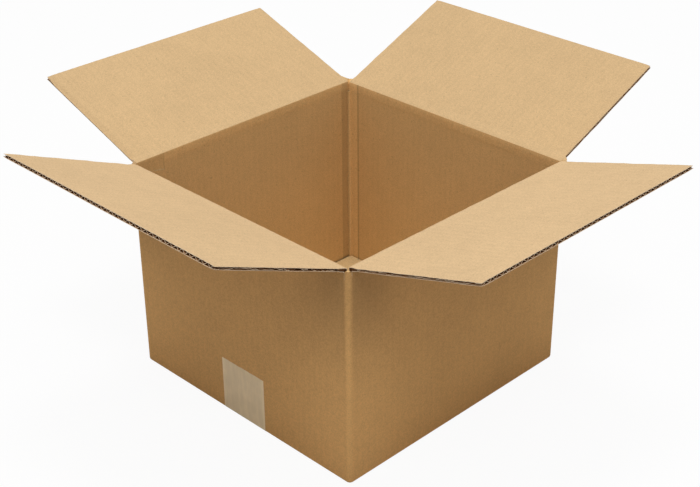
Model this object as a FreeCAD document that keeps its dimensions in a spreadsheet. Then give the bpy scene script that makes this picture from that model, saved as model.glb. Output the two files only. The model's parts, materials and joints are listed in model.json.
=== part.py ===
import FreeCAD, Part
import math
import os

import Sketcher

# An open square shipping box, folded from one sheet of single-wall corrugated board. The four
# walls are joined by a glued tab inside the left wall. The bottom flaps are folded shut and held
# by a strip of tape. The four top flaps stand open and swing on their score lines.
# Millimetres. +Z is up, the floor is z = 0, and the origin is the centre of the base. The front
# wall, where the tape's end shows, faces -Y, and the right wall faces +X.
# The front and back flaps are the inner pair: they close first, one board below the outer pair.

doc = FreeCAD.newDocument("open_box")
sheet = doc.addObject("Spreadsheet::Sheet", "sizes")

SIZES = {
    # outside of the four walls
    "box_length": 250.0,
    "box_width": 250.0,
    # floor to the score line of the outer top flaps
    "score_height": 187.0,
    # the corrugated board, its paper layers and its flutes
    "board": 3.0,
    "liner": 0.4,
    "medium": 0.36,
    "flute_pitch": 6.4,
    "flute_slope": 52.0,
    "flute_crest": 1.3,
    # outer radius of the upright folds and of the folds round the base
    "fold_radius": 4.0,
    "base_radius": 2.5,
    # inner liner that buckles inwards along each upright fold
    "crease_bead": 2.5,
    # how much further than the board's own thickness each flap stops short of the corner
    "slot_margin": 1.0,
    "side_gap": 0.3,
    # gap left where the edges of two opposite flaps meet
    "flap_seam": 3.8,
    # air between the folded layers of board
    "layer_gap": 0.4,
    # score line: the fold's centre lies this far outside the outer flaps' walls
    "fold_offset": 0.2,
    "hinge_gap": 0.3,
    # board flattened by the scoring tool, where the flutes are closed
    "crushed": 9.0,
    # how far each top flap rises above the horizontal as it stands open
    "front_tilt": 23.0,
    "right_tilt": 17.0,
    "back_tilt": 22.5,
    "left_tilt": 19.5,
    # glued tab, pressed thin, with its ends cut back
    "tab_width": 31.0,
    "tab_board": 1.6,
    "tab_taper": 5.0,
    # tape over the bottom seam and up the front and back walls
    "tape_width": 50.0,
    "tape_rise": 50.0,
    "tape_shift": 3.6,
    "tape_film": 0.15,
}

for row, (alias, value) in enumerate(SIZES.items(), start=1):
    sheet.set(f"A{row}", alias)
    sheet.set(f"B{row}", str(value))
    sheet.setAlias(f"B{row}", alias)
doc.recompute()

# Worked-out lengths, each an expression of the sheet's cells
HALF_LENGTH = "sizes.box_length / 2"
HALF_WIDTH = "sizes.box_width / 2"
SLOT = "(sizes.board + sizes.slot_margin)"
INNER_FLAP_SPAN = f"(sizes.box_length - 2 * {SLOT})"
OUTER_FLAP_SPAN = f"(sizes.box_width - 2 * {SLOT})"
INNER_LAYER = "(sizes.board + sizes.layer_gap)"
INNER_FLOOR = f"({INNER_LAYER} + sizes.board)"

# The outer flaps turn about a line just outside their walls. The inner flaps turn about one
# that lies further out and lower by the same step, so that all four stand level when open, and
# the inner pair closes one board and one layer gap below the outer pair.
STEP = f"({INNER_LAYER} / 2)"
OUTER_OFFSET = "sizes.fold_offset"
INNER_OFFSET = f"(sizes.fold_offset + {STEP})"
OUTER_AXIS = "sizes.score_height"
INNER_AXIS = f"(sizes.score_height - {STEP})"
OUTER_SEAT = f"({OUTER_AXIS} - {OUTER_OFFSET} - sizes.board - sizes.hinge_gap)"
INNER_SEAT = f"({INNER_AXIS} - {INNER_OFFSET} - sizes.board - sizes.hinge_gap)"
OUTER_DEPTH = f"({HALF_LENGTH} + {OUTER_OFFSET} - sizes.flap_seam / 2)"
INNER_DEPTH = f"({HALF_WIDTH} + {INNER_OFFSET} - sizes.flap_seam / 2)"


def number(expression):
    """The present value of an expression of the sheet's cells."""
    return float(sheet.evalExpression(str(expression)))


def new_body(name):
    """An empty body, labelled with its node's name."""
    body = doc.addObject("PartDesign::Body", name)
    body.Label = name
    return body


def plane_of(body, role):
    """One of the body's own origin planes or axes."""
    return next(item for item in body.Origin.OriginFeatures if item.Role == role)


def new_sketch(body, role, name, offset="0"):
    """A sketch on an origin plane of its body, moved along the plane's normal."""
    sketch = body.newObject("Sketcher::SketchObject", name)
    sketch.AttachmentSupport = [(plane_of(body, role), "")]
    sketch.MapMode = "FlatFace"
    sketch.setExpression("AttachmentOffset.Base.z", offset)
    return sketch


def dimension(sketch, expression, *constraint):
    """A sketch dimension that follows an expression of the sheet's cells."""
    index = sketch.addConstraint(Sketcher.Constraint(*constraint, number(expression)))
    sketch.setExpression(f"Constraints[{index}]", expression)


def angle(sketch, expression, *constraint):
    """The same for an angle, written in degrees."""
    radians = math.radians(number(expression))
    index = sketch.addConstraint(Sketcher.Constraint("Angle", *constraint, radians))
    sketch.setExpression(f"Constraints[{index}]", f"({expression}) * 1 deg")


def join(sketch, kind, pairs):
    """Ties the end of one sketch edge to the start of another, square or smooth."""
    for first, first_end, second, second_end in pairs:
        sketch.addConstraint(Sketcher.Constraint(kind, first, first_end, second, second_end))


def closed_lines(sketch, points):
    """A closed outline of straight edges, and the index of its first edge."""
    first = sketch.GeometryCount
    corners = [FreeCAD.Vector(x, y, 0) for x, y in points]
    count = len(corners)
    for start in range(count):
        edge = Part.LineSegment(corners[start], corners[(start + 1) % count])
        sketch.addGeometry(edge, False)
    join(sketch, "Coincident",
         [(first + edge, 2, first + (edge + 1) % count, 1) for edge in range(count)])
    return first


def rectangle(sketch, left, low, right, high):
    """A rectangle whose four sides follow four expressions."""
    x0, y0, x1, y1 = (number(side) for side in (left, low, right, high))
    first = closed_lines(sketch, [(x0, y0), (x1, y0), (x1, y1), (x0, y1)])
    for edge, kind in enumerate(("Horizontal", "Vertical", "Horizontal", "Vertical")):
        sketch.addConstraint(Sketcher.Constraint(kind, first + edge))
    dimension(sketch, left, "DistanceX", -1, 1, first, 1)
    dimension(sketch, low, "DistanceY", -1, 1, first, 1)
    dimension(sketch, right, "DistanceX", -1, 1, first + 2, 1)
    dimension(sketch, high, "DistanceY", -1, 1, first + 2, 1)


def pad(body, sketch, length, name, side_type="One side"):
    """Board added from a sketch."""
    feature = body.newObject("PartDesign::Pad", name)
    feature.Profile = sketch
    feature.SideType = side_type
    feature.setExpression("Length", length)
    doc.recompute()
    return feature


def pocket(body, sketch, length, name, side_type="One side"):
    """Board cut away from a sketch, checked to have removed something."""
    before = body.Shape.Volume
    feature = body.newObject("PartDesign::Pocket", name)
    feature.Profile = sketch
    feature.SideType = side_type
    feature.setExpression("Length", length)
    doc.recompute()
    if body.Shape.Volume >= before:
        raise RuntimeError(f"{name} removes nothing")
    return feature


def fillet(body, edge_names, radius, name):
    """Round folds along chosen edges of the body's latest feature."""
    base = body.Tip
    feature = body.newObject("PartDesign::Fillet", name)
    feature.Base = (base, edge_names)
    feature.setExpression("Radius", radius)
    doc.recompute()
    return feature


def upright_edges(shape, half_x, half_y):
    """Names of the full-height edges that stand at the corners of a rectangle."""
    found = []
    for index, edge in enumerate(shape.Edges, start=1):
        box = edge.BoundBox
        at_corner = abs(abs(box.Center.x) - half_x) < 0.01 and abs(abs(box.Center.y) - half_y) < 0.01
        if at_corner and box.ZLength > 1:
            found.append(f"Edge{index}")
    return found


def base_edges(shape):
    """Names of the edges round the foot of the four walls, outside only."""
    foot_x = number(HALF_LENGTH) - number("sizes.fold_radius")
    foot_y = number(HALF_WIDTH) - number("sizes.fold_radius")
    inside = number("sizes.board")
    found = []
    for index, edge in enumerate(shape.Edges, start=1):
        box = edge.BoundBox
        if box.ZMax > 0.01:
            continue
        out_x = abs(box.Center.x) + box.XLength / 2 > number(HALF_LENGTH) - 0.01
        out_y = abs(box.Center.y) + box.YLength / 2 > number(HALF_WIDTH) - 0.01
        round_corner = abs(box.Center.x) > foot_x - inside and abs(box.Center.y) > foot_y - inside
        if out_x and out_y and round_corner:
            found.append(f"Edge{index}")
        elif (out_x and box.XLength < 0.01) or (out_y and box.YLength < 0.01):
            found.append(f"Edge{index}")
    return found


def add_walls(body):
    """Four walls with rounded upright folds."""
    sketch = new_sketch(body, "XY_Plane", "wall_plan")
    rectangle(sketch, f"-{HALF_LENGTH}", f"-{HALF_WIDTH}", HALF_LENGTH, HALF_WIDTH)
    inner_x = f"{HALF_LENGTH} - sizes.board"
    inner_y = f"{HALF_WIDTH} - sizes.board"
    rectangle(sketch, f"-({inner_x})", f"-({inner_y})", inner_x, inner_y)
    pad(body, sketch, "sizes.score_height", "walls")
    outside = upright_edges(body.Shape, number(HALF_LENGTH), number(HALF_WIDTH))
    fillet(body, outside, "sizes.fold_radius", "outer_folds")


def add_bottom_flaps(body):
    """The bottom flaps, folded shut: the inner pair lies on the outer pair."""
    root_x = f"{HALF_LENGTH} - sizes.board / 2"
    root_y = f"{HALF_WIDTH} - sizes.board / 2"
    side_x = f"{INNER_FLAP_SPAN} / 2"
    side_y = f"{OUTER_FLAP_SPAN} / 2"
    outer = new_sketch(body, "XY_Plane", "outer_bottom_plan")
    rectangle(outer, f"-({root_x})", f"-{side_y}", "-sizes.flap_seam / 2", side_y)
    rectangle(outer, "sizes.flap_seam / 2", f"-{side_y}", root_x, side_y)
    pad(body, outer, "sizes.board", "outer_bottom_flaps")
    inner = new_sketch(body, "XY_Plane", "inner_bottom_plan", INNER_LAYER)
    rectangle(inner, f"-{side_x}", f"-({root_y})", side_x, "-sizes.flap_seam / 2")
    rectangle(inner, f"-{side_x}", "sizes.flap_seam / 2", side_x, root_y)
    pad(body, inner, "sizes.board", "inner_bottom_flaps")
    fillet(body, base_edges(body.Shape), "sizes.base_radius", "base_folds")


def add_crease_beads(body):
    """The inner liner buckles into a round bead along each upright fold."""
    sketch = new_sketch(body, "XY_Plane", "bead_plan", INNER_FLOOR)
    middle_x = number(f"{HALF_LENGTH} - sizes.board")
    middle_y = number(f"{HALF_WIDTH} - sizes.board")
    for index, (side_x, side_y) in enumerate(((-1, -1), (1, -1), (1, 1), (-1, 1))):
        centre = FreeCAD.Vector(side_x * middle_x, side_y * middle_y, 0)
        circle = Part.Circle(centre, FreeCAD.Vector(0, 0, 1), number("sizes.crease_bead"))
        sketch.addGeometry(circle, False)
        dimension(sketch, f"{side_x} * ({HALF_LENGTH} - sizes.board)", "DistanceX", -1, 1, index, 3)
        dimension(sketch, f"{side_y} * ({HALF_WIDTH} - sizes.board)", "DistanceY", -1, 1, index, 3)
        dimension(sketch, "sizes.crease_bead", "Radius", index)
    pad(body, sketch, f"{INNER_SEAT} - {INNER_FLOOR}", "crease_beads")


def add_glue_tab(body):
    """The tab that joins the front wall to the left wall, glued to the left wall's inside."""
    sketch = new_sketch(body, "YZ_Plane", "tab_outline", f"sizes.board - {HALF_LENGTH}")
    root = f"sizes.board / 2 - {HALF_WIDTH}"
    edge = f"sizes.tab_width - {HALF_WIDTH}"
    low = f"{INNER_FLOOR} + sizes.hinge_gap"
    high = INNER_SEAT
    corners = [
        (root, low),
        (edge, f"{low} + sizes.tab_taper"),
        (edge, f"{high} - sizes.tab_taper"),
        (root, high),
    ]
    first = closed_lines(sketch, [(number(across), number(up)) for across, up in corners])
    for index, (across, up) in enumerate(corners):
        dimension(sketch, across, "DistanceX", -1, 1, first + index, 1)
        dimension(sketch, up, "DistanceY", -1, 1, first + index, 1)
    pad(body, sketch, "sizes.tab_board", "glue_tab")


def cut_flap_seats(body):
    """Lowers each wall's top under its flap. The corners stay, as the slots' bottoms."""
    over = "sizes.score_height + sizes.board"
    outer = new_sketch(body, "YZ_Plane", "outer_seat_outline")
    side = f"({OUTER_FLAP_SPAN} / 2 + sizes.side_gap)"
    rectangle(outer, f"-{side}", OUTER_SEAT, side, over)
    pocket(body, outer, "2 * sizes.box_length", "outer_seats", "Symmetric")
    inner = new_sketch(body, "XZ_Plane", "inner_seat_outline")
    side = f"({INNER_FLAP_SPAN} / 2 + sizes.side_gap)"
    rectangle(inner, f"-{side}", INNER_SEAT, side, over)
    pocket(body, inner, "2 * sizes.box_width", "inner_seats", "Symmetric")


def tape_profile(body, name):
    """The tape's section: flush under the base, round both folds and up both walls."""
    sketch = new_sketch(body, "YZ_Plane", name, "sizes.tape_shift")
    film = number("sizes.tape_film")
    bend = number("sizes.base_radius")
    face = number(HALF_WIDTH)
    rise = number("sizes.tape_rise")
    middle = face - bend
    level = bend + film

    def line(x0, y0, x1, y1):
        ends = FreeCAD.Vector(x0, y0, 0), FreeCAD.Vector(x1, y1, 0)
        return sketch.addGeometry(Part.LineSegment(*ends), False)

    def corner(side, radius, start):
        circle = Part.Circle(FreeCAD.Vector(side * middle, level, 0), FreeCAD.Vector(0, 0, 1), radius)
        turn = math.radians(start), math.radians(start + 90)
        return sketch.addGeometry(Part.ArcOfCircle(circle, *turn), False)

    front_out = line(-face - film, rise, -face - film, level)
    front_bend = corner(-1, bend + film, 180)
    under = line(-middle, 0, middle, 0)
    back_bend = corner(1, bend + film, 270)
    back_out = line(face + film, level, face + film, rise)
    back_end = line(face + film, rise, face, rise)
    back_in = line(face, rise, face, level)
    back_inner_bend = corner(1, bend, 270)
    over = line(middle, film, -middle, film)
    front_inner_bend = corner(-1, bend, 180)
    front_in = line(-face, level, -face, rise)
    front_end = line(-face, rise, -face - film, rise)

    smooth = [
        (front_out, 2, front_bend, 1), (front_bend, 2, under, 1),
        (under, 2, back_bend, 1), (back_bend, 2, back_out, 1),
        (back_in, 2, back_inner_bend, 2), (back_inner_bend, 1, over, 1),
        (over, 2, front_inner_bend, 2), (front_inner_bend, 1, front_in, 1),
    ]
    join(sketch, "Tangent", smooth)
    square = [
        (back_out, 2, back_end, 1), (back_end, 2, back_in, 1),
        (front_in, 2, front_end, 1), (front_end, 2, front_out, 1),
    ]
    join(sketch, "Coincident", square)
    for edge in (front_out, back_out, back_in, front_in):
        sketch.addConstraint(Sketcher.Constraint("Vertical", edge))
    for edge in (under, over, back_end, front_end):
        sketch.addConstraint(Sketcher.Constraint("Horizontal", edge))
    dimension(sketch, f"-({HALF_WIDTH} + sizes.tape_film)", "DistanceX", -1, 1, front_out, 1)
    dimension(sketch, f"{HALF_WIDTH} + sizes.tape_film", "DistanceX", -1, 1, back_out, 1)
    dimension(sketch, HALF_WIDTH, "DistanceX", -1, 1, back_in, 1)
    dimension(sketch, f"-{HALF_WIDTH}", "DistanceX", -1, 1, front_in, 1)
    dimension(sketch, "sizes.tape_rise", "DistanceY", -1, 1, front_out, 1)
    dimension(sketch, "sizes.tape_rise", "DistanceY", -1, 1, back_in, 1)
    dimension(sketch, "0", "DistanceY", -1, 1, under, 1)
    dimension(sketch, "sizes.tape_film", "DistanceY", -1, 1, over, 1)
    dimension(sketch, "sizes.base_radius + sizes.tape_film", "Radius", front_bend)
    dimension(sketch, "sizes.base_radius + sizes.tape_film", "Radius", back_bend)
    dimension(sketch, "sizes.base_radius", "Radius", back_inner_bend)
    dimension(sketch, "sizes.base_radius", "Radius", front_inner_bend)
    return sketch


def press_tape_in(body):
    """The base is pressed in by the tape's thickness, so that the tape lies flush with it."""
    pocket(body, tape_profile(body, "tape_seat_section"), "sizes.tape_width", "tape_seat", "Symmetric")


def make_carton():
    """The folded sheet: walls, glued tab and closed bottom."""
    body = new_body("carton")
    add_walls(body)
    add_bottom_flaps(body)
    add_crease_beads(body)
    add_glue_tab(body)
    cut_flap_seats(body)
    press_tape_in(body)
    return body


def make_tape():
    """One strip of packing tape over the bottom seam."""
    body = new_body("bottom_tape")
    pad(body, tape_profile(body, "tape_section"), "sizes.tape_width", "tape_strip", "Symmetric")
    return body


def flap_profile(body, depth, offset, tilt):
    """A flap's section across its score: the flat board, and the bend that meets the wall."""
    sketch = new_sketch(body, "YZ_Plane", "flap_section")
    length = number(depth)
    small = number(offset)
    large = small + number("sizes.board")
    lean = number(tilt)
    tail = 180 + math.degrees(math.acos(small / large)) - lean

    def polar(radius, degrees):
        turn = math.radians(degrees)
        return FreeCAD.Vector(radius * math.cos(turn), radius * math.sin(turn), 0)

    def line(start, end):
        return sketch.addGeometry(Part.LineSegment(start, end), False)

    def bend(radius, start, end):
        circle = Part.Circle(FreeCAD.Vector(0, 0, 0), FreeCAD.Vector(0, 0, 1), radius)
        arc = Part.ArcOfCircle(circle, math.radians(start), math.radians(end))
        return sketch.addGeometry(arc, False)

    cut_edge = line(FreeCAD.Vector(length, small, 0), FreeCAD.Vector(length, large, 0))
    inner_face = line(FreeCAD.Vector(length, large, 0), FreeCAD.Vector(0, large, 0))
    outside_bend = bend(large, 90, tail)
    tail_face = line(polar(large, tail), polar(small, 180 - lean))
    inside_bend = bend(small, 90, 180 - lean)
    outer_face = line(FreeCAD.Vector(0, small, 0), FreeCAD.Vector(length, small, 0))

    join(sketch, "Coincident", [(cut_edge, 2, inner_face, 1), (outside_bend, 2, tail_face, 1),
                                (outer_face, 2, cut_edge, 1)])
    join(sketch, "Tangent", [(inner_face, 2, outside_bend, 1), (tail_face, 2, inside_bend, 2),
                             (inside_bend, 1, outer_face, 1)])
    for arc in (outside_bend, inside_bend):
        sketch.addConstraint(Sketcher.Constraint("Coincident", arc, 3, -1, 1))
    sketch.addConstraint(Sketcher.Constraint("Vertical", cut_edge))
    sketch.addConstraint(Sketcher.Constraint("Horizontal", inner_face))
    sketch.addConstraint(Sketcher.Constraint("Horizontal", outer_face))
    dimension(sketch, depth, "DistanceX", -1, 1, cut_edge, 1)
    dimension(sketch, f"{offset} + sizes.board", "Radius", outside_bend)
    dimension(sketch, offset, "Radius", inside_bend)
    angle(sketch, f"90 - {tilt}", tail_face)
    return sketch


def flute_outline(sketch, centre, foot_level, crest_level, up):
    """One open flute: a wide foot on a liner, two sloping sides and a narrow crest."""
    middle = number(centre)
    foot = number(foot_level)
    crest = number(crest_level)
    half_crest = number("sizes.flute_crest") / 2
    run = abs(crest - foot) / math.tan(math.radians(number("sizes.flute_slope")))
    half_foot = half_crest + run
    first = closed_lines(sketch, [
        (middle - half_foot, foot),
        (middle + half_foot, foot),
        (middle + half_crest, crest),
        (middle - half_crest, crest),
    ])
    right, top, left = first + 1, first + 2, first + 3
    for level in (first, top):
        sketch.addConstraint(Sketcher.Constraint("Horizontal", level))
    dimension(sketch, foot_level, "DistanceY", -1, 1, first, 1)
    dimension(sketch, crest_level, "DistanceY", -1, 1, top, 1)
    dimension(sketch, f"{centre} + sizes.flute_crest / 2", "DistanceX", -1, 1, top, 1)
    dimension(sketch, f"{centre} - sizes.flute_crest / 2", "DistanceX", -1, 1, top, 2)
    angle(sketch, f"{up} * (180 - sizes.flute_slope)", right)
    angle(sketch, f"{-up} * (180 - sizes.flute_slope)", left)


def add_flutes(body, span, depth, offset):
    """Open flutes from the cut edge to the crushed score. The outermost are cut in half."""
    count = f"round({span} / sizes.flute_pitch)"
    pitch = f"{span} / {count}"
    low = f"{offset} + sizes.liner"
    high = f"{offset} + sizes.board - sizes.liner"
    sketch = new_sketch(body, "XZ_Plane", "flute_pair", "-sizes.crushed")
    flute_outline(sketch, f"-{span} / 2", high, f"{low} + sizes.medium", -1)
    flute_outline(sketch, f"({pitch} - {span}) / 2", low, f"{high} - sizes.medium", 1)
    pair = pocket(body, sketch, depth, "flute_pair_cut")
    pattern = body.newObject("PartDesign::LinearPattern", "flutes")
    pattern.Originals = [pair]
    pattern.Direction = (plane_of(body, "X_Axis"), [""])
    pattern.setExpression("Length", span)
    pattern.setExpression("Occurrences", f"{count} + 1")
    body.Tip = pattern
    doc.recompute()


def make_flap(name, span, depth, offset, tilt, heading, place):
    """One top flap, drawn flat about its own fold line and then set on its wall."""
    body = new_body(name)
    pad(body, flap_profile(body, depth, offset, tilt), span, "flap_board", "Symmetric")
    add_flutes(body, span, depth, offset)
    for letter, expression in zip("xyz", place):
        body.setExpression(f"Placement.Base.{letter}", expression)
    body.Placement.Rotation = FreeCAD.Rotation(heading, 0, number(tilt))
    doc.recompute()
    return body


def make_inner_flap(name, tilt, heading, side):
    """A flap of the pair that closes first, on the front or back wall."""
    place = ("0", f"{side} * ({HALF_WIDTH} + {INNER_OFFSET})", INNER_AXIS)
    return make_flap(name, INNER_FLAP_SPAN, INNER_DEPTH, INNER_OFFSET, tilt, heading, place)


def make_outer_flap(name, tilt, heading, side):
    """A flap of the pair that closes last, on the right or left wall."""
    place = (f"{side} * ({HALF_LENGTH} + {OUTER_OFFSET})", "0", OUTER_AXIS)
    return make_flap(name, OUTER_FLAP_SPAN, OUTER_DEPTH, OUTER_OFFSET, tilt, heading, place)


parts = [
    make_carton(),
    make_tape(),
    make_inner_flap("front_flap", "sizes.front_tilt", 180, -1),
    make_inner_flap("back_flap", "sizes.back_tilt", 0, 1),
    make_outer_flap("right_flap", "sizes.right_tilt", 270, 1),
    make_outer_flap("left_flap", "sizes.left_tilt", 90, -1),
]
doc.recompute()

for item in doc.Objects:
    if "Invalid" in item.State or "Error" in item.State:
        raise RuntimeError(f"{item.Label} did not build")
for part in parts:
    if part.Shape.isNull() or not part.Shape.isValid():
        raise RuntimeError(f"{part.Label} has no valid shape")

os.makedirs("parts", exist_ok=True)
for part in parts:
    part.Shape.exportStep(f"parts/{part.Label}.step")
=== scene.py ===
"""An open corrugated box: fluted flaps, bent scores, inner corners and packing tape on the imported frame."""

import json
import math

import bpy
from mathutils import Matrix, Vector, noise


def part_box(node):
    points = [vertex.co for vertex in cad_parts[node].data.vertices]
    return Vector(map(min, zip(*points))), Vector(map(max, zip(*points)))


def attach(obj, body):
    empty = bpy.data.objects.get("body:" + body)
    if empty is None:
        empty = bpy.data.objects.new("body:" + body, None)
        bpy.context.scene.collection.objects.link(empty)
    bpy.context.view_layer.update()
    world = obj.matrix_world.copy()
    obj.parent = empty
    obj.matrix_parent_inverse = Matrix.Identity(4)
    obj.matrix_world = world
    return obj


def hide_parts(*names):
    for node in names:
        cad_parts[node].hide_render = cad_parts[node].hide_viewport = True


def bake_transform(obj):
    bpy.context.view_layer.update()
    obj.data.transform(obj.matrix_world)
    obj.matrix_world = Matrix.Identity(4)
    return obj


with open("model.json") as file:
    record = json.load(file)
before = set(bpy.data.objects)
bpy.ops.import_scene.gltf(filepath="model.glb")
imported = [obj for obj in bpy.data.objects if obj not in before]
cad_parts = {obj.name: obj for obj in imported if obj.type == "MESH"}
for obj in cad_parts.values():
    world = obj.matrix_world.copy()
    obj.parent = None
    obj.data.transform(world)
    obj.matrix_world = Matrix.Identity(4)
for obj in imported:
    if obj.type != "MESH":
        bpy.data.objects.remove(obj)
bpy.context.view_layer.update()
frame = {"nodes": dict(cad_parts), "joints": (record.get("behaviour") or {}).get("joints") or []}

# The board, read from the frame.
CARTON_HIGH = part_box("carton")[1]
HALF_WIDTH = CARTON_HIGH.x
RIM = CARTON_HIGH.z
TAPE_LOW, TAPE_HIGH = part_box("bottom_tape")

PITCH = 0.0064           # one flute to the next
LINER = 0.00036          # paper that faces the board
MEDIUM = 0.00032         # paper that is fluted
TORN = 0.00034           # torn paper in the side edges
ACROSS = 242             # steps of the mesh across a flap
ALONG = 26               # steps of the mesh from a flap's score to its far edge
SIDE_BAND = 0.006        # a flap is thinner within this distance of its side edges
WEB_BOARD = 0.0009       # the crushed board left between two flaps, this thick at its fold
SCORE_REACH = 0.0062     # from the score's axis to where the flap is flat again
WALL_LEG = 0.009         # how far the bent board reaches down the wall
LEG_ROWS = 9             # rows of the bent board down the wall
FOLD_ROWS = 12           # rows of the bent board round its crease
CREASE_RUN = 0.001       # where the rows past the crease begin, as a run along the flap
SAG = 0.0003             # the flaps stray this far from flat, less than the gap between shut flaps
FILM = 0.00012           # the tape stands this far off the board
WASHBOARD = 0.012        # how strongly the flutes show through the paper
TAB_EDGE = -0.0945       # y of the glued tab's edge on the left wall, beside which a line of painted shadow is drawn
INNER_WALL = HALF_WIDTH - 0.003   # the walls' inner faces
BASE_TOP = 0.0066        # just over the bottom flaps
SKY = 0.82               # the sky's strength straight overhead
GLOW = 0.94              # the share of plain white that the camera sees on the floor

UP = Vector((0, 0, 1))

# Each flap piece's materials, in the order of its slots.
INNER_FACE, OUTER_FACE, CUT_FACE, FLUTE_FACE, WALL_FACE, CRUSHED_FACE = range(6)


class Shape:
    """Collects the grids of one piece, then makes its mesh."""

    def __init__(self):
        self.points = []
        self.faces = []
        self.kinds = []

    def grid(self, rows, kind, look=None):
        """Faces between rows of points, all as long. They face along look."""
        if look is not None:
            i, j = len(rows) // 2 - 1, len(rows[0]) // 2 - 1
            here = rows[i][j]
            if (rows[i][j + 1] - here).cross(rows[i + 1][j] - here).dot(look) < 0:
                rows = [row[::-1] for row in rows]
        first = len(self.points)
        width = len(rows[0])
        for row in rows:
            self.points.extend(row)
        for i in range(len(rows) - 1):
            here = first + i * width
            there = here + width
            for j in range(width - 1):
                self.faces.append((here + j, here + j + 1, there + j + 1, there + j))
                self.kinds.append(kind)

    def sheet(self, upper, lower, upper_kind, lower_kind):
        """A sheet of paper from its two faces, with its far edge and both side edges closed."""
        self.grid(upper, upper_kind)
        self.grid([row[::-1] for row in lower], lower_kind)
        self.grid([upper[-1], lower[-1]], CUT_FACE)
        self.grid([[row[-1] for row in lower], [row[-1] for row in upper]], CUT_FACE)
        self.grid([[row[0] for row in upper], [row[0] for row in lower]], CUT_FACE)

    def piece(self, name, materials):
        mesh = bpy.data.meshes.new(name)
        mesh.from_pydata([tuple(p) for p in self.points], [], self.faces)
        for material in materials:
            mesh.materials.append(material)
        mesh.polygons.foreach_set("material_index", self.kinds)
        mesh.polygons.foreach_set("use_smooth", [True] * len(self.faces))
        mesh.update()
        obj = bpy.data.objects.new(name, mesh)
        bpy.context.scene.collection.objects.link(obj)
        return obj


def steps(start, end, count):
    return [start + (end - start) * i / count for i in range(count + 1)]


def wander(x, y, seed, scale):
    """Smooth noise from about -1 to 1, the same on every run."""
    return noise.noise(Vector((x / scale, y / scale, seed * 17.31)))


def smooth(t):
    t = min(max(t, 0.0), 1.0)
    return t * t * (3 - 2 * t)


def linear(red, green, blue):
    """A colour given as it looks on a screen, 0 to 255."""
    def one(value):
        value /= 255
        return value / 12.92 if value <= 0.04045 else ((value + 0.055) / 1.055) ** 2.4
    return one(red), one(green), one(blue), 1.0


class Nodes:
    """Short calls for building one material's nodes."""

    def __init__(self, name):
        self.material = bpy.data.materials.new(name)
        self.material.use_nodes = True
        self.tree = self.material.node_tree
        self.shader = self.tree.nodes["Principled BSDF"]
        self.coords = self.tree.nodes.new("ShaderNodeTexCoord").outputs["Object"]

    def put(self, socket, value):
        if isinstance(value, bpy.types.NodeSocket):
            self.tree.links.new(value, socket)
        elif socket.type == "VECTOR":
            socket.default_value = value[:3]
        else:
            socket.default_value = value

    def split(self, vector):
        node = self.tree.nodes.new("ShaderNodeSeparateXYZ")
        self.put(node.inputs[0], vector)
        return node.outputs

    def math(self, operation, a, b=0.0):
        node = self.tree.nodes.new("ShaderNodeMath")
        node.operation = operation
        self.put(node.inputs[0], a)
        self.put(node.inputs[1], b)
        return node.outputs[0]

    def total(self, first, *others):
        for other in others:
            first = self.math("ADD", first, other)
        return first

    def product(self, first, *others):
        for other in others:
            first = self.math("MULTIPLY", first, other)
        return first

    def without(self, share):
        """What is left of 1."""
        return self.math("SUBTRACT", 1.0, share)

    def above(self, value, level):
        return self.math("GREATER_THAN", value, level)

    def below(self, value, level):
        return self.math("LESS_THAN", value, level)

    def size(self, value):
        return self.math("ABSOLUTE", value)

    def facing(self):
        """The way that the surface looks, in its three parts."""
        return self.split(self.tree.nodes.new("ShaderNodeNewGeometry").outputs["True Normal"])

    def ramp(self, value, low, high, out_low=0.0, out_high=1.0):
        node = self.tree.nodes.new("ShaderNodeMapRange")
        node.interpolation_type = "SMOOTHSTEP"
        for socket, given in zip(node.inputs, (value, low, high, out_low, out_high)):
            self.put(socket, given)
        return node.outputs[0]

    def band(self, value, low, high, soft):
        """1 between low and high, fading to 0 on both sides."""
        return self.product(self.ramp(value, low - soft, low + soft),
                            self.ramp(value, high - soft, high + soft, 1.0, 0.0))

    def speckle(self, scale, detail, stretch=(1, 1, 1), shift=0.0):
        place = self.tree.nodes.new("ShaderNodeMapping")
        self.put(place.inputs["Vector"], self.coords)
        place.inputs["Location"].default_value = (shift, shift * 0.7, shift * 0.4)
        place.inputs["Scale"].default_value = stretch
        node = self.tree.nodes.new("ShaderNodeTexNoise")
        self.put(node.inputs["Vector"], place.outputs[0])
        node.inputs["Scale"].default_value = scale
        node.inputs["Detail"].default_value = detail
        return node.outputs["Fac"]

    def mix(self, share, a, b):
        node = self.tree.nodes.new("ShaderNodeMix")
        node.data_type = "RGBA"
        self.put(node.inputs["Factor"], share)
        self.put(node.inputs["A"], a)
        self.put(node.inputs["B"], b)
        return node.outputs["Result"]

    def shade(self, colour, factor):
        """The colour times a number."""
        node = self.tree.nodes.new("ShaderNodeVectorMath")
        node.operation = "SCALE"
        self.put(node.inputs[0], colour)
        self.put(node.inputs["Scale"], factor)
        return node.outputs[0]

    def bump(self, height, strength, distance):
        node = self.tree.nodes.new("ShaderNodeBump")
        node.inputs["Strength"].default_value = strength
        node.inputs["Distance"].default_value = distance
        self.put(node.inputs["Height"], height)
        self.put(self.shader.inputs["Normal"], node.outputs[0])


TOP_FACE = linear(212, 179, 133)
# Front and right flaps' inner faces: the same paper as TOP_FACE, painted lighter as painted light where more
# light falls on them.
PAINTED_LIGHTER_FLAP_FACE = linear(219, 187, 143)
WALL_OUTSIDE = linear(203, 157, 99)
WALL_INSIDE = linear(217, 181, 127)
# The flaps' outer faces and the bent board's band down the walls' outsides: the walls' outer paper, painted
# darker as shade under the flaps.
PAINTED_SHADE_UNDER_FACE = linear(175, 134, 82)
CUT = linear(242, 218, 186)
# The fluted paper between the liners: its own colour, painted darker still as shade inside the cut edges and
# slots.
FLUTED_WITH_PAINTED_SHADE = linear(170, 122, 78)
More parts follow.
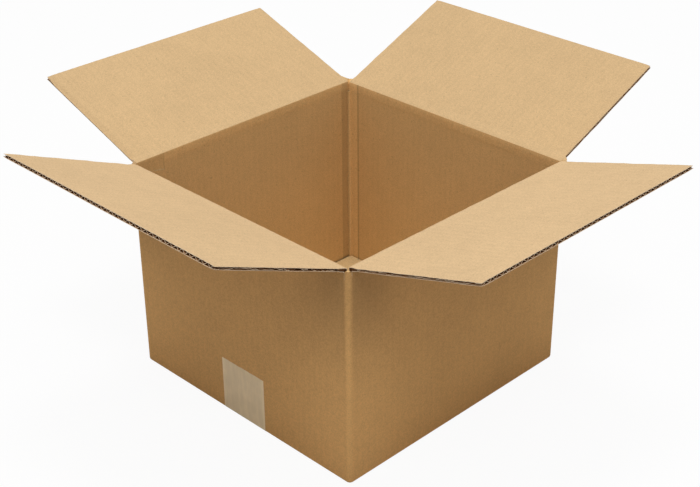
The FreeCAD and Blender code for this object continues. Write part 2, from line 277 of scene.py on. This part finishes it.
# The crushed paper in the scores' cut ends: its own colour, painted darker still as shade in the set-back
# recess.
CRUSHED_WITH_PAINTED_SHADE = linear(112, 76, 46)
INSIDE_BASE = linear(212, 184, 134)
MILKY = linear(255, 231, 190)


def across_flutes(nodes, runs_along_x):
    """The coordinate that crosses the flutes, which run up the walls and out along the flaps.

    runs_along_x says which way a flap's score runs. It is None on the walls, where it depends on the wall.
    """
    x, y = nodes.split(nodes.coords)[:2]
    if runs_along_x is None:
        faces_x = nodes.above(nodes.size(nodes.facing()[0]), 0.5)
        return nodes.total(nodes.product(faces_x, y), nodes.product(nodes.without(faces_x), x))
    return x if runs_along_x else y


def kraft(name, face, runs_along_x=None, shift=0.0):
    """Kraft paper: mottled, with fibres, dark specks and the faint lines of the flutes behind it.

    face is a colour, or a function that gives one from the nodes.
    """
    nodes = Nodes(name)
    wave = nodes.math("SINE", nodes.product(across_flutes(nodes, runs_along_x), 2 * math.pi / PITCH))
    cloudy = nodes.speckle(14, 3, shift=shift)
    blotch = nodes.speckle(85, 3, shift=shift + 1)
    fibre = nodes.speckle(900, 5, shift=shift + 2)
    fleck = nodes.speckle(520, 2, shift=shift + 3)
    tone = nodes.total(nodes.ramp(cloudy, 0.35, 0.65, -0.016, 0.016), 1.0,
                       nodes.ramp(blotch, 0.3, 0.7, -0.018, 0.018),
                       nodes.ramp(fibre, 0.3, 0.7, -0.09, 0.09),
                       nodes.product(wave, WASHBOARD))
    colour = nodes.shade(face(nodes) if callable(face) else face, tone)
    dark = nodes.shade(colour, 0.72)
    colour = nodes.mix(nodes.ramp(fleck, 0.66, 0.74, 0.0, 0.75), colour, dark)
    nodes.put(nodes.shader.inputs["Base Color"], colour)
    nodes.shader.inputs["Roughness"].default_value = 0.88
    nodes.shader.inputs["Specular IOR Level"].default_value = 0.25
    nodes.bump(nodes.total(nodes.product(wave, 0.25), nodes.product(fibre, 0.5)), 0.35, 0.0002)
    return nodes.material


def wall_colour(nodes):
    """The carton: one colour outside and another inside, each with its own painted light and shade, and
    rubbing outside.
    """
    return nodes.mix(inner_side(nodes), nodes.shade(WALL_OUTSIDE, outside_painted_light_and_rubbing(nodes)), inside_colour(nodes))


def inside_colour(nodes):
    z = nodes.split(nodes.coords)[2]
    colour = nodes.mix(nodes.below(z, BASE_TOP), WALL_INSIDE, INSIDE_BASE)
    return nodes.shade(colour, inside_painted_light_and_shade(nodes))


def inner_side(nodes):
    """1 on what faces the box's inside, 0 on its outside."""
    x, y, z = nodes.split(nodes.coords)
    mid_board = (HALF_WIDTH - INNER_WALL) / 2
    within = HALF_WIDTH - mid_board
    return nodes.product(nodes.below(nodes.size(x), within), nodes.below(nodes.size(y), within),
                         nodes.above(z, mid_board))


def outside_painted_light_and_rubbing(nodes):
    """The outsides: painted light makes them paler at the foot, the upright edges are rubbed paler with a
    painted highlight, and painted shadow darkens them below the rim near those edges.
    """
    x, y, z = nodes.split(nodes.coords)
    # At an upright edge this is twice the half width, and it falls by 1 mm for each millimetre along a wall.
    toward_edge = nodes.total(nodes.size(x), nodes.size(y))
    edge = 2 * HALF_WIDTH
    low_share = nodes.ramp(z, 0.02, RIM - 0.02, 1.0, 0.0)
    rub_start = nodes.total(nodes.product(low_share, 0.0024), edge - 0.0036)
    # Along the upright edges: paler paper, partly real rubbing and partly a painted highlight on the rounded
    # fold.
    rubbed = nodes.product(nodes.ramp(nodes.math("SUBTRACT", toward_edge, rub_start), -0.002, 0.002),
                           nodes.ramp(nodes.speckle(300, 3, shift=9.0), 0.3, 0.6, 0.8, 1.1),
                           nodes.ramp(z, 0.04, RIM, 0.14, 0.36))
    # Painted shadow of the flaps: darker below the rim near the upright edges.
    shadowed = nodes.product(nodes.ramp(toward_edge, edge - 0.07, edge - 0.01),
                             nodes.ramp(z, RIM - 0.11, RIM, 0.04, -0.28))
    # A thin darker line along the rim.
    rim = nodes.ramp(z, RIM - 0.0006, RIM - 0.0001, 0.0, -0.3)
    # low_share makes the walls paler towards the foot, as painted light.
    return nodes.total(nodes.product(low_share, 0.2), 0.98, shadowed, rubbed, rim)


def inside_painted_light_and_shade(nodes):
    """The insides' painted shade and light: shade and highlight at the back left corner's crease, a shadow
    line beside the tab, shade on the tab's top, a darker seam at the walls' foot and a lighter one just under
    the fold.
    """
    x, y, z = nodes.split(nodes.coords)
    further_left = nodes.above(nodes.product(x, -1.0), y)
    on_left = nodes.product(nodes.below(x, -INNER_WALL + 0.0015), further_left)
    on_back = nodes.product(nodes.above(y, INNER_WALL - 0.0015), nodes.without(further_left))
    level = nodes.above(nodes.facing()[2], 0.5)
    return nodes.total(back_corner_painted_crease_shade(nodes, x, y, on_left, on_back),
                       tab_edge_painted_shadow(nodes, y, z, on_left),
                       tab_top_painted_shade(nodes, z, level),
                       foot_of_walls(nodes, z, level),
                       under_fold_painted_highlight(nodes, y, z, on_left),
                       1.0)


def back_corner_painted_crease_shade(nodes, x, y, on_left, on_back):
    """Painted shade and highlight of the corner's crease: a dark stripe on the left wall beside the corner,
    and a pale one with a dark shadow line on the back wall.
    """
    soft = 0.0005
    dark = nodes.product(on_left, nodes.band(y, INNER_WALL - 0.0095, INNER_WALL + 0.02, soft), -0.19)
    pale = nodes.product(on_back, nodes.band(x, -INNER_WALL - 0.02, -INNER_WALL + 0.0105, soft), 0.13)
    line = nodes.product(on_back, nodes.band(x, -INNER_WALL + 0.0112, -INNER_WALL + 0.0126, soft), -0.28)
    return nodes.total(dark, pale, line)


def tab_edge_painted_shadow(nodes, y, z, on_left):
    """The painted shadow of the tab's edge: a dark line beside the tab, fading downwards from the rim."""
    return nodes.product(on_left, nodes.band(y, TAB_EDGE, TAB_EDGE + 0.0012, 0.0004),
                         nodes.ramp(z, RIM - 0.045, RIM, 0.0, -0.18))


def tab_top_painted_shade(nodes, z, level):
    """The tab's own top edge, which looks up and would shine, painted darker as shade."""
    return nodes.product(level, nodes.above(z, RIM / 2), nodes.below(z, RIM - 0.0005), -0.5)


def foot_of_walls(nodes, z, level):
    """The shaded seam where the walls stand on the bottom flaps."""
    return nodes.product(nodes.without(level), nodes.ramp(z, BASE_TOP, BASE_TOP + 0.0026, -0.28, 0.0))


def under_fold_painted_highlight(nodes, y, z, on_left):
    """Painted highlight of the rounded fold: the walls are a little paler just under the fold, but not on the
    tab.
    """
    off_tab = nodes.math("MAXIMUM", nodes.above(y, TAB_EDGE), nodes.without(on_left))
    return nodes.product(off_tab, nodes.ramp(z, RIM - 0.009, RIM - 0.0005, 0.0, 0.14))


def cut_paper(name, face, shift=0.0):
    """The cut edge of paper: paler and fuzzy."""
    nodes = Nodes(name)
    grain = nodes.speckle(1400, 4, shift=shift)
    tear = nodes.speckle(260, 3, shift=shift + 2)
    tone = nodes.total(nodes.ramp(grain, 0.3, 0.7, 0.82, 1.1), nodes.ramp(tear, 0.35, 0.65, -0.12, 0.08))
    nodes.put(nodes.shader.inputs["Base Color"], nodes.shade(face, tone))
    nodes.shader.inputs["Roughness"].default_value = 0.95
    nodes.shader.inputs["Specular IOR Level"].default_value = 0.15
    nodes.bump(grain, 0.6, 0.0002)
    return nodes.material


def packing_film(name):
    """Clear film that has gone milky on the paper, with faint pressed-in marks and brighter edges."""
    nodes = Nodes(name)
    cloudy = nodes.speckle(70, 4, shift=4.0)
    streak = nodes.speckle(60, 3, stretch=(6, 1, 1), shift=7.0)
    middle = (TAPE_LOW.x + TAPE_HIGH.x) / 2
    half = (TAPE_HIGH.x - TAPE_LOW.x) / 2
    from_middle = nodes.size(nodes.math("SUBTRACT", nodes.split(nodes.coords)[0], middle))
    edge = nodes.ramp(from_middle, half - 0.0035, half - 0.0002, 0.0, 0.08)
    cover = nodes.total(nodes.ramp(cloudy, 0.3, 0.7, 0.88, 0.95), edge,
                        nodes.ramp(streak, 0.35, 0.7, -0.03, 0.03))
    nodes.put(nodes.shader.inputs["Alpha"], cover)
    nodes.shader.inputs["Base Color"].default_value = MILKY
    nodes.shader.inputs["Roughness"].default_value = 0.38
    nodes.shader.inputs["Specular IOR Level"].default_value = 0.45
    nodes.bump(streak, 0.15, 0.0002)
    return nodes.material


class Flap:
    """One top flap's own frame: x along the score, u outwards along the flap, z towards its inner face.

    thin_side is -1 or 1 for the side edge that is pressed flat, or 0. webs gives the height of the board
    left at each end of the score, or None where there is none.
    """

    def __init__(self, body, seed, thin_side, webs):
        self.node, self.body, self.seed = body + "_flap", body, seed
        self.thin_side, self.webs = thin_side, webs
        self.joint = next(j for j in frame["joints"] if j["child"] == body)
        self.tilt = math.radians(180 - self.joint["range_deg"][1])
        self.axis = Vector(self.joint["pos_m"])
        self.along = Vector(self.joint["axis"])
        self.level = UP.cross(self.along)
        self.out = self.level * math.cos(self.tilt) + UP * math.sin(self.tilt)
        self.inner = self.along.cross(self.out)
        self.runs_along_x = abs(self.along.x) > 0.5
        local = [self.local(v.co) for v in frame["nodes"][self.node].data.vertices]
        self.depth = max(p[1] for p in local)
        self.half = max(p[0] for p in local)
        far = [p[2] for p in local if p[1] > self.depth / 2]
        self.low, self.high = min(far), max(far)
        self.board = self.high - self.low

    def local(self, point):
        offset = point - self.axis
        return offset.dot(self.along), offset.dot(self.out), offset.dot(self.inner)

    def place(self, x, u, z):
        return self.axis + self.along * x + self.out * u + self.inner * z


def sag(flap, x, u):
    """How far the flap's sheet strays from flat, growing from its score."""
    reach = u / flap.depth
    return SAG * reach * wander(x, u, flap.seed, 0.13)


def pinch(flap, x, u):
    """The share of its thickness that the board keeps: less along the side edges and beside the score."""
    side = smooth((flap.half - abs(x)) / SIDE_BAND)
    end = 5 if x > 0 else 6
    keep = 0.82 + 0.18 * wander(u, 0, flap.seed + end, 0.011) + 0.09 * wander(u, 1, flap.seed + end, 0.003)
    if flap.thin_side and x * flap.thin_side > 0:
        keep = 0.28 + 0.6 * smooth((u - flap.depth + 0.011) / 0.008)
    root = smooth((u - 0.002) / 0.012)
    front = smooth((flap.depth - u) / 0.004)
    return (keep + (1 - keep) * side) * (0.88 + 0.12 * root) * (0.95 + 0.05 * front)


def skin(flap, x, u, share):
    """The level of a layer: share 0 is the outer face, 1 the inner one."""
    middle = (flap.low + flap.high) / 2
    keep = pinch(flap, x, u)
    if x * flap.thin_side > 0:
        middle -= 0.5 * flap.board * (1 - keep) * (1 - smooth((flap.half - abs(x)) / SIDE_BAND))
    return middle + (share - 0.5) * flap.board * keep + sag(flap, x, u)


def ragged(flap, x, seed):
    """How far a cut edge strays, in metres."""
    return 0.00016 * wander(x, 0, flap.seed + seed, 0.0019) + 0.00012 * wander(x, 3, flap.seed + seed, 0.02)


def make_flap(flap, materials):
    """Two liners with the fluted medium between them, cut square, open at every edge."""
    shape = Shape()
    share = LINER / flap.board
    xs = steps(-flap.half, flap.half, ACROSS)
    us = steps(SCORE_REACH, flap.depth, ALONG)
    for kind, levels, seed in ((INNER_FACE, (1.0, 1.0 - share), 1), (OUTER_FACE, (0.0, share), 2)):
        faces = []
        for level in levels:
            rows = []
            for u in us:
                far = (u - SCORE_REACH) / (flap.depth - SCORE_REACH)
                row = []
                for x in xs:
                    edge = smooth((abs(x) / flap.half - 0.985) / 0.015)
                    spread = x + math.copysign(edge, x) * ragged(flap, u, seed + 4)
                    reach = u + smooth((far - 0.94) / 0.06) * ragged(flap, x, seed)
                    row.append(flap.place(spread, reach, skin(flap, x, u, level)))
                rows.append(row)
            faces.append(rows)
        if kind == INNER_FACE:
            shape.sheet(*faces, kind, FLUTE_FACE)
        else:
            shape.sheet(*faces[::-1], FLUTE_FACE, kind)
        shape.grid([faces[0][0], faces[1][0]], CUT_FACE, -flap.out)
    add_medium(shape, flap)
    for side in (-1, 1):
        add_torn_edge(shape, flap, side)
    return shape.piece(flap.node + "_board", materials)


def add_torn_edge(shape, flap, side):
    """A strip of fluted paper that the cut along a side edge leaves ragged between the liners."""
    rows = []
    for u in steps(SCORE_REACH - 0.001, flap.depth - 0.001, 320):
        seed = flap.seed + 24
        level = 0.45 + 0.4 * wander(u, side, seed, 0.012) + 0.3 * wander(u, side, seed, 0.003)
        level = min(max(level, 0.1), 0.9)
        gap = max(wander(u, side, seed + 0.5, 0.0045), -0.05) + 0.1
        reach = flap.half - 0.0001 - 0.0035 * gap
        rows.append([flap.place(side * (reach - inset), u, skin(flap, side * flap.half, u, level))
                     for inset in (0.0024, 0.0008, 0.0)])
    thick = [[p - flap.inner * TORN for p in row] for row in rows]
    shape.grid(rows, FLUTE_FACE, flap.inner)
    shape.grid(thick, FLUTE_FACE, -flap.inner)
    shape.grid([[row[-1] for row in rows], [row[-1] for row in thick]], CUT_FACE, flap.along * side)


def add_medium(shape, flap):
    """The fluted paper, waving from liner to liner."""
    us = steps(SCORE_REACH, flap.depth - 0.0003, ALONG)
    count = int(2 * flap.half / PITCH * 14)
    xs = steps(-flap.half + 0.0002, flap.half - 0.0002, count)
    reach = (flap.board / 2 - LINER - MEDIUM / 2) / flap.board
    sheets = []
    for side in (1, -1):
        rows = []
        for u in us:
            row = []
            last = u == us[-1]
            ends = [flap.half - 0.0004 - 0.0006 * (1 + wander(u, 7, flap.seed + 14 + k, 0.006))
                    for k in (0, 1)]
            for x in xs:
                x = min(max(x, -ends[0]), ends[1])
                turn = 2 * math.pi * (x + 0.0004 * wander(x, 1, flap.seed + 9, 0.03)) / PITCH
                slope = math.cos(turn) * reach * flap.board * 2 * math.pi / PITCH
                lean = math.hypot(1, slope)
                share = 0.5 + reach * math.sin(turn) + side * MEDIUM / 2 / flap.board / lean
                shift = -side * MEDIUM / 2 * slope / lean
                cut = 0.00022 * wander(x, 5, flap.seed + 12, 0.0022) if last else 0.0
                row.append(flap.place(x + shift, u + cut, skin(flap, x, u, share)))
            rows.append(row)
        sheets.append(rows)
    shape.sheet(*sheets, FLUTE_FACE, FLUTE_FACE)


def score_stations(flap, leg=WALL_LEG, legs=LEG_ROWS, reach=SCORE_REACH, reaches=6):
    """Points along the bent board and the way its inner face looks, from the wall over onto the flap."""
    wall_inner = -flap.level
    found = [(-UP * drop, wall_inner, -drop) for drop in steps(leg, 0.0, legs)[:-1]]
    bend = math.pi / 2 - flap.tilt
    for turn in steps(0.0, bend, FOLD_ROWS):
        look = wall_inner * math.cos(turn) + UP * math.sin(turn)
        sharper = 1 + 0.8 * (1 / math.cos(min(turn, bend - turn)) - 1)
        found.append((Vector((0, 0, 0)), look * sharper, turn / bend * CREASE_RUN))
    found += [(flap.out * u, flap.inner, u) for u in steps(0.0, reach, reaches)[1:]]
    return found


def score_section(flap, x, station):
    """The bent board's inner and outer point at one place along the score."""
    base, look, run = station
    wall_low = HALF_WIDTH - abs(flap.axis.dot(flap.level))
    if run < 0:
        fade = smooth((run + WALL_LEG) / (WALL_LEG * 0.6))
        proud = (0.00022 + 0.00012 * wander(x, run, flap.seed + 20, 0.006)) * fade - 0.0001
        top, bottom = flap.high + proud, -wall_low - proud * 0.4
    else:
        share = min(run / SCORE_REACH, 1.0)
        swell = (1 - share) * (0.0002 + 0.00016 * wander(x, 0, flap.seed + 21, 0.008))
        top, bottom = flap.high + swell, flap.low
        flat = smooth((run - CREASE_RUN) / (SCORE_REACH - CREASE_RUN))
        top += flat * (skin(flap, x, SCORE_REACH, 1.0) - flap.high)
        bottom += flat * (skin(flap, x, SCORE_REACH, 0.0) - flap.low)
    origin = flap.axis + flap.along * x + base
    return origin + look * top, origin + look.normalized() * bottom


def add_crushed_end(shape, flap, inner, outer, end, way):
    """The score's cut end: two pale liners with the crushed medium between them, set back a little and
    darkened by painted shade.
    """
    columns = []
    for share, depth in ((1.0, 0.0), (0.86, 0.0), (0.8, 1.0), (0.2, 1.0), (0.14, 0.0), (0.0, 0.0)):
        column = []
        for i, row in enumerate(inner):
            inset = 0.0005 * depth * (1 + wander(i * 0.001, share, flap.seed + 30, 0.002))
            column.append(outer[i][end].lerp(row[end], share) - flap.along * way * inset)
        columns.append(column)
    middle = CUT_FACE if flap.thin_side == way else CRUSHED_FACE
    for index, kind in enumerate((CUT_FACE, middle, middle, middle, CUT_FACE)):
        shape.grid(columns[index:index + 2], kind, flap.along * way)


def make_score(flap, materials):
    """The board where it bends from the wall to the flap: crushed and slightly wavy."""
    shape = Shape()
    xs = steps(-flap.half, flap.half, ACROSS)
    rows = [[score_section(flap, x, station) for x in xs] for station in score_stations(flap)]
    inner = [[pair[0] for pair in row] for row in rows]
    outer = [[pair[1] for pair in row] for row in rows]
    crease = LEG_ROWS + FOLD_ROWS // 2
    shape.grid(inner[:crease + 1], WALL_FACE, UP - flap.level)
    shape.grid(inner[crease:], INNER_FACE, UP - flap.level)
    shape.grid(outer, OUTER_FACE, flap.level - UP)
    for end, way in ((0, -1), (-1, 1)):
        add_crushed_end(shape, flap, inner, outer, end, way)
    piece = shape.piece(flap.node + "_score", materials)
    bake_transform(piece)


def corner_section(flap, side, share):
    """The inner and outer point of the upright fold above the rim, where it leans out between two flaps."""
    diagonal = flap.level + flap.along * side
    top = 0.0014 if diagonal.x < 0 and diagonal.y < 0 else 0.003
    rise = UP * (RIM - 0.005 + (0.005 + top) * share)
    reach = HALF_WIDTH - 0.00105 + 0.0011 * smooth((share - 0.35) / 0.65)
    return diagonal * (reach - WEB_BOARD) + rise, diagonal * reach + rise


def make_web(flap, side, height, materials):
    """Half of the board left between two flaps' roots, from this flap's side to the upright fold."""
    shape = Shape()
    stations = score_stations(flap, 0.004, 4, height, 5)
    diagonal = flap.level + flap.along * side
    bulge = diagonal * 0.00032
    in_shade = diagonal.x < 0 < diagonal.y
    inner, outer = [], []
    for index, station in enumerate(stations):
        roots = score_section(flap, side * flap.half, station)
        folds = corner_section(flap, side, index / (len(stations) - 1))
        for rows, root, fold in zip((inner, outer), roots, folds):
            rows.append([root.lerp(fold, t) + bulge * 4 * t * (1 - t) for t in steps(0.0, 1.0, 7)])
    # In the back left corner, which lies in shade, the web's inner face takes the walls' inside material and
    # its painted shade.
    shape.grid(inner, WALL_FACE if in_shade else INNER_FACE, UP - flap.level)
    shape.grid(outer, OUTER_FACE, flap.level)
    shape.grid([inner[-1], outer[-1]], INNER_FACE, UP)
    piece = shape.piece("%s_web_%s" % (flap.node, "low" if side < 0 else "high"), materials)
    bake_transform(piece)


def make_tape():
    """One strip of film: up the front wall, under the base and up the back wall, a little loose."""
    shape = Shape()
    xs = steps(TAPE_LOW.x, TAPE_HIGH.x, 50)
    top = TAPE_HIGH.z
    radius = 0.0025
    face = HALF_WIDTH + FILM
    path = [(-face, z) for z in steps(top, radius, 24)]
    path += [(-face + radius * (1 - math.cos(a)), radius * (1 - math.sin(a)))
             for a in steps(0, math.pi / 2, 6)[1:]]
    path += [(y, 0.0) for y in steps(-face + radius, face - radius, 60)[1:]]
    path += [(-y, z) for y, z in path[:30][::-1]]
    rows = []
    for index, (y, z) in enumerate(path):
        row = []
        for x in xs:
            end = 0.00035 * wander(x, y, 41, 0.004) if index in (0, len(path) - 1) else 0.0
            sway = 0.0002 * wander(z, y, 43, 0.03)
            row.append(Vector((x + sway, y, z + end)))
        rows.append(row)
    shape.grid([row[::-1] for row in rows], 0)
    piece = shape.piece("packing_tape_strip", [packing_film("packing_film")])
    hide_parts("bottom_tape")
    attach(piece, "box")


def make_floor():
    """A plain white floor that fills the view, keeps the shadow and shows as white."""
    shape = Shape()
    reach = 12.0
    level = -0.0002
    shape.grid([[Vector((x, y, level)) for x in (-reach, reach)] for y in (-reach, reach)], 0)
    nodes = Nodes("pale_floor")
    nodes.shader.inputs["Base Color"].default_value = (0.86, 0.86, 0.86, 1)
    nodes.shader.inputs["Roughness"].default_value = 0.9
    tree = nodes.tree
    path = tree.nodes.new("ShaderNodeLightPath")
    glow = tree.nodes.new("ShaderNodeEmission")
    glow.inputs["Color"].default_value = (1, 1, 1, 1)
    mixed = tree.nodes.new("ShaderNodeMixShader")
    share = nodes.math("MULTIPLY", path.outputs["Is Camera Ray"], GLOW)
    tree.links.new(share, mixed.inputs[0])
    tree.links.new(nodes.shader.outputs[0], mixed.inputs[1])
    tree.links.new(glow.outputs[0], mixed.inputs[2])
    tree.links.new(mixed.outputs[0], tree.nodes["Material Output"].inputs["Surface"])
    floor = shape.piece("floor", [nodes.material])


def make_light():
    """A sky that is brightest overhead, white to the camera, with soft lamps overhead and high in front."""
    world = bpy.data.worlds.new("studio")
    bpy.context.scene.world = world
    world.use_nodes = True
    tree = world.node_tree
    sky = tree.nodes["Background"]
    sky.inputs["Color"].default_value = (1, 1, 1, 1)
    coords = tree.nodes.new("ShaderNodeTexCoord")
    way = tree.nodes.new("ShaderNodeSeparateXYZ")
    rising = tree.nodes.new("ShaderNodeMath")
    rising.operation = "MULTIPLY"
    rising.inputs[1].default_value = SKY
    no_less = tree.nodes.new("ShaderNodeMath")
    no_less.operation = "MAXIMUM"
    no_less.inputs[1].default_value = 0.0
    path = tree.nodes.new("ShaderNodeLightPath")
    strength = tree.nodes.new("ShaderNodeMix")
    strength.inputs["B"].default_value = 1.0
    for start, end in (
        (coords.outputs["Generated"], way.inputs[0]),
        (way.outputs["Z"], rising.inputs[0]),
        (rising.outputs[0], no_less.inputs[0]),
        (path.outputs["Is Camera Ray"], strength.inputs["Factor"]),
        (no_less.outputs[0], strength.inputs["A"]),
        (strength.outputs["Result"], sky.inputs["Strength"]),
    ):
        tree.links.new(start, end)
    soft_lamp("front", (0.75, -0.75, 1.85), 0.8, 5.9)
    soft_lamp("overhead", (0, 0, 2.2), 0.6, 15.7)


def soft_lamp(name, place, size, energy):
    """A large round lamp that looks at the box."""
    lamp = bpy.data.lights.new(name, "AREA")
    lamp.shape = "DISK"
    lamp.size = size
    lamp.energy = energy
    rig = bpy.data.objects.new(name, lamp)
    rig.location = place
    rig.rotation_euler = (Vector((0, 0, 0.1)) - rig.location).to_track_quat("-Z", "Y").to_euler()
    bpy.context.scene.collection.objects.link(rig)


def make_camera():
    """The photo's camera, solved from the box's straight edges."""
    camera = bpy.data.cameras.new("camera")
    camera.sensor_width = 36
    camera.lens = 72.68
    camera.clip_start = 0.01
    azimuth, elevation, roll = (math.radians(a) for a in (45.245, 28.823, -0.451))
    back = Vector((math.sin(azimuth) * math.cos(elevation),
                   -math.cos(azimuth) * math.cos(elevation), math.sin(elevation)))
    right = UP.cross(back).normalized()
    up = back.cross(right)
    side = right * math.cos(roll) + up * math.sin(roll)
    above = up * math.cos(roll) - right * math.sin(roll)
    turned = Matrix((side, above, back)).transposed().to_4x4()
    rig = bpy.data.objects.new("camera", camera)
    rig.matrix_world = Matrix.Translation((0.735897, -0.728554, 0.683839)) @ turned
    bpy.context.scene.collection.objects.link(rig)
    bpy.context.scene.camera = rig


def make_box():
    carton = frame["nodes"]["carton"]
    carton.data.materials.clear()
    carton.data.materials.append(kraft("kraft_walls_painted_light", wall_colour))
    cut = cut_paper("cut_edge", CUT)
    fluted = cut_paper("fluted_paper_with_painted_shade", FLUTED_WITH_PAINTED_SHADE, 3.0)
    crushed = cut_paper("crushed_paper_with_painted_shade", CRUSHED_WITH_PAINTED_SHADE, 5.0)
    wall = kraft("kraft_wall_inside_painted_light", inside_colour)
    flaps = (
        (Flap("front", 1, 0, (None, 0.0008)), PAINTED_LIGHTER_FLAP_FACE),
        (Flap("back", 2, 0, (0.0015, 0.004)), TOP_FACE),
        (Flap("right", 3, 0, (0.0025, None)), PAINTED_LIGHTER_FLAP_FACE),
        (Flap("left", 4, -1, (0.0008, 0.007)), TOP_FACE),
    )
    for flap, face in flaps:
        inner = kraft(flap.node + "_inner_face", face, flap.runs_along_x, shift=flap.seed * 3.0)
        outer = kraft(flap.node + "_outer_face", PAINTED_SHADE_UNDER_FACE, flap.runs_along_x, shift=flap.seed * 5.0)
        materials = [inner, outer, cut, fluted, wall, crushed]
        board = make_flap(flap, materials)
        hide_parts(flap.node)
        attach(board, flap.body)
        make_score(flap, materials)
        for side, height in zip((-1, 1), flap.webs):
            if height is not None:
                make_web(flap, side, height, materials)


make_camera()
make_light()
make_floor()
make_box()
make_tape()
bpy.context.scene.view_settings.view_transform = "Standard"
